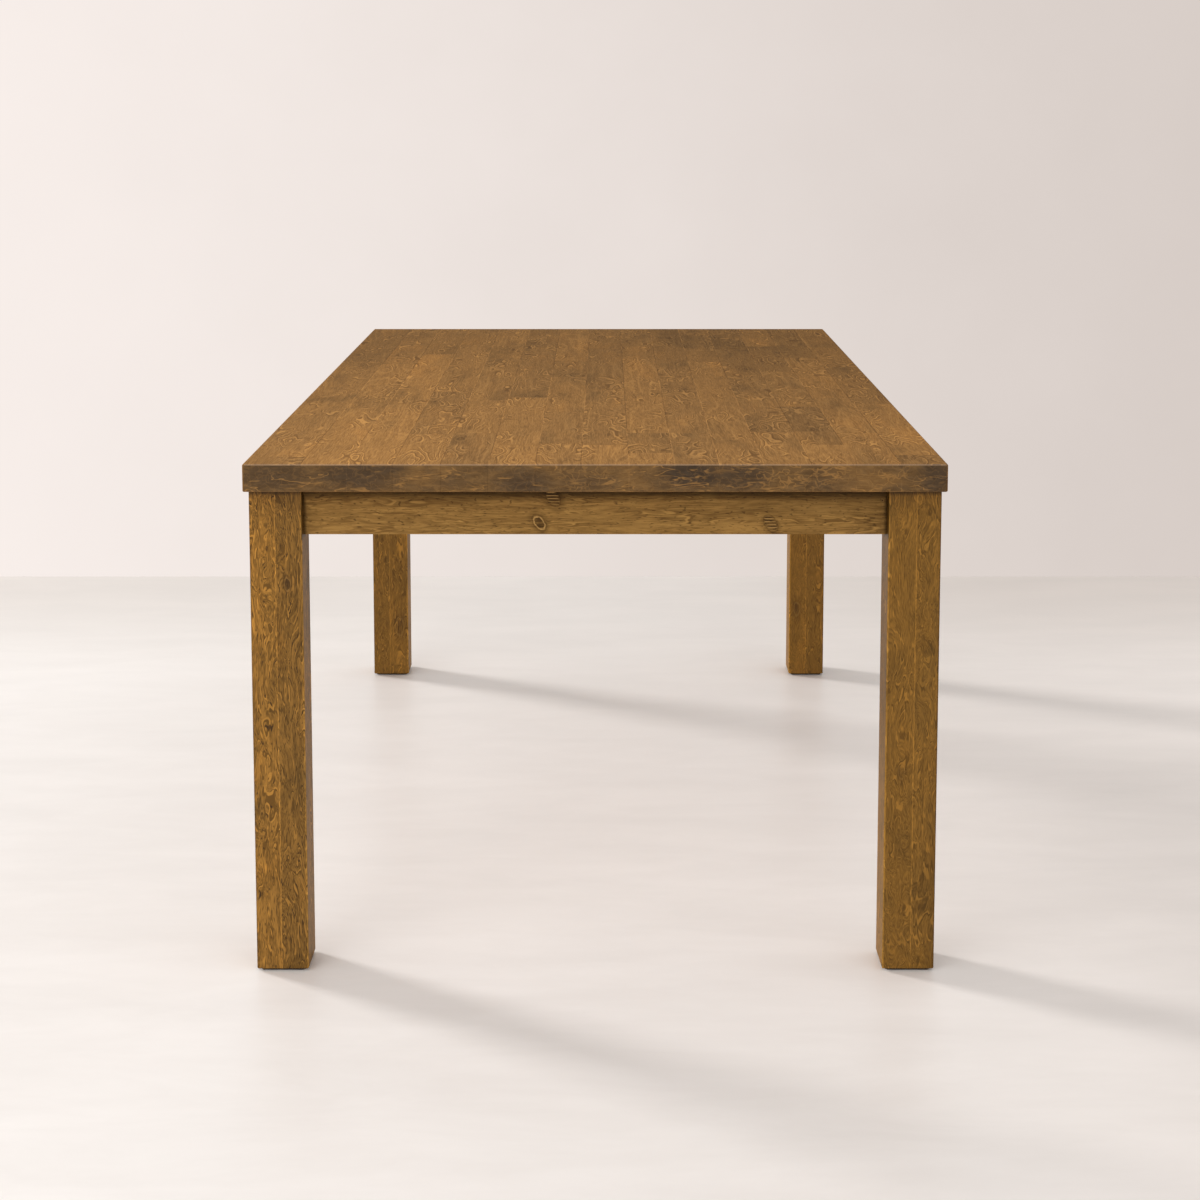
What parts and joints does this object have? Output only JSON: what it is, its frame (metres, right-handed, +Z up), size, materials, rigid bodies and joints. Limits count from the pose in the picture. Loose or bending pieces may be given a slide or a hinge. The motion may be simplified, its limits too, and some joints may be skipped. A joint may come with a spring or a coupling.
{
  "type": "dining table",
  "caption": "Rectangular dining table of finger-jointed solid hardwood staves on square legs, with set-back aprons under a thick flat top.",
  "frame": {"origin": "on the floor under the middle of the top", "axes": "+X across the width to the right as seen from the near end, +Y along the length away from the near end, +Z up"},
  "size_m": [1, 1.8, 0.76],
  "materials": {
    "top_wood": "brown stained hardwood under satin lacquer",
    "leg_wood": "brown stained hardwood under satin lacquer",
    "apron_wood": "brown stained hardwood under satin lacquer",
    "frame_wood": "planed hardwood, oiled",
    "zinc_plated_steel": "zinc plated, satin",
    "pad_rubber": "matt black"
  },
  "bodies": {
    "root": {"bolt_nuts": "zinc_plated_steel", "bolt_washers": "zinc_plated_steel", "corner_block_far_left": "frame_wood", "corner_block_far_right": "frame_wood", "corner_block_near_left": "frame_wood", "corner_block_near_right": "frame_wood", "corner_block_screws": "zinc_plated_steel", "cross_rail": "frame_wood", "cross_rail_screws": "zinc_plated_steel", "end_apron_far": "apron_wood", "end_apron_near": "apron_wood", "foot_pad_far_left": "pad_rubber", "foot_pad_far_right": "pad_rubber", "foot_pad_near_left": "pad_rubber", "foot_pad_near_right": "pad_rubber", "hanger_bolts": "zinc_plated_steel", "leg_far_left": "leg_wood", "leg_far_right": "leg_wood", "leg_near_left": "leg_wood", "leg_near_right": "leg_wood", "side_apron_left": "apron_wood", "side_apron_right": "apron_wood", "top_clip_screws": "zinc_plated_steel", "top_clips": "zinc_plated_steel", "top_stave_01": "top_wood", "top_stave_02": "top_wood", "top_stave_03": "top_wood", "top_stave_04": "top_wood", "top_stave_05": "top_wood", "top_stave_06": "top_wood", "top_stave_07": "top_wood", "top_stave_08": "top_wood", "top_stave_09": "top_wood", "top_stave_10": "top_wood", "top_stave_11": "top_wood", "top_stave_12": "top_wood", "top_stave_13": "top_wood", "top_stave_14": "top_wood", "top_stave_15": "top_wood"}
  },
  "joints": []
}
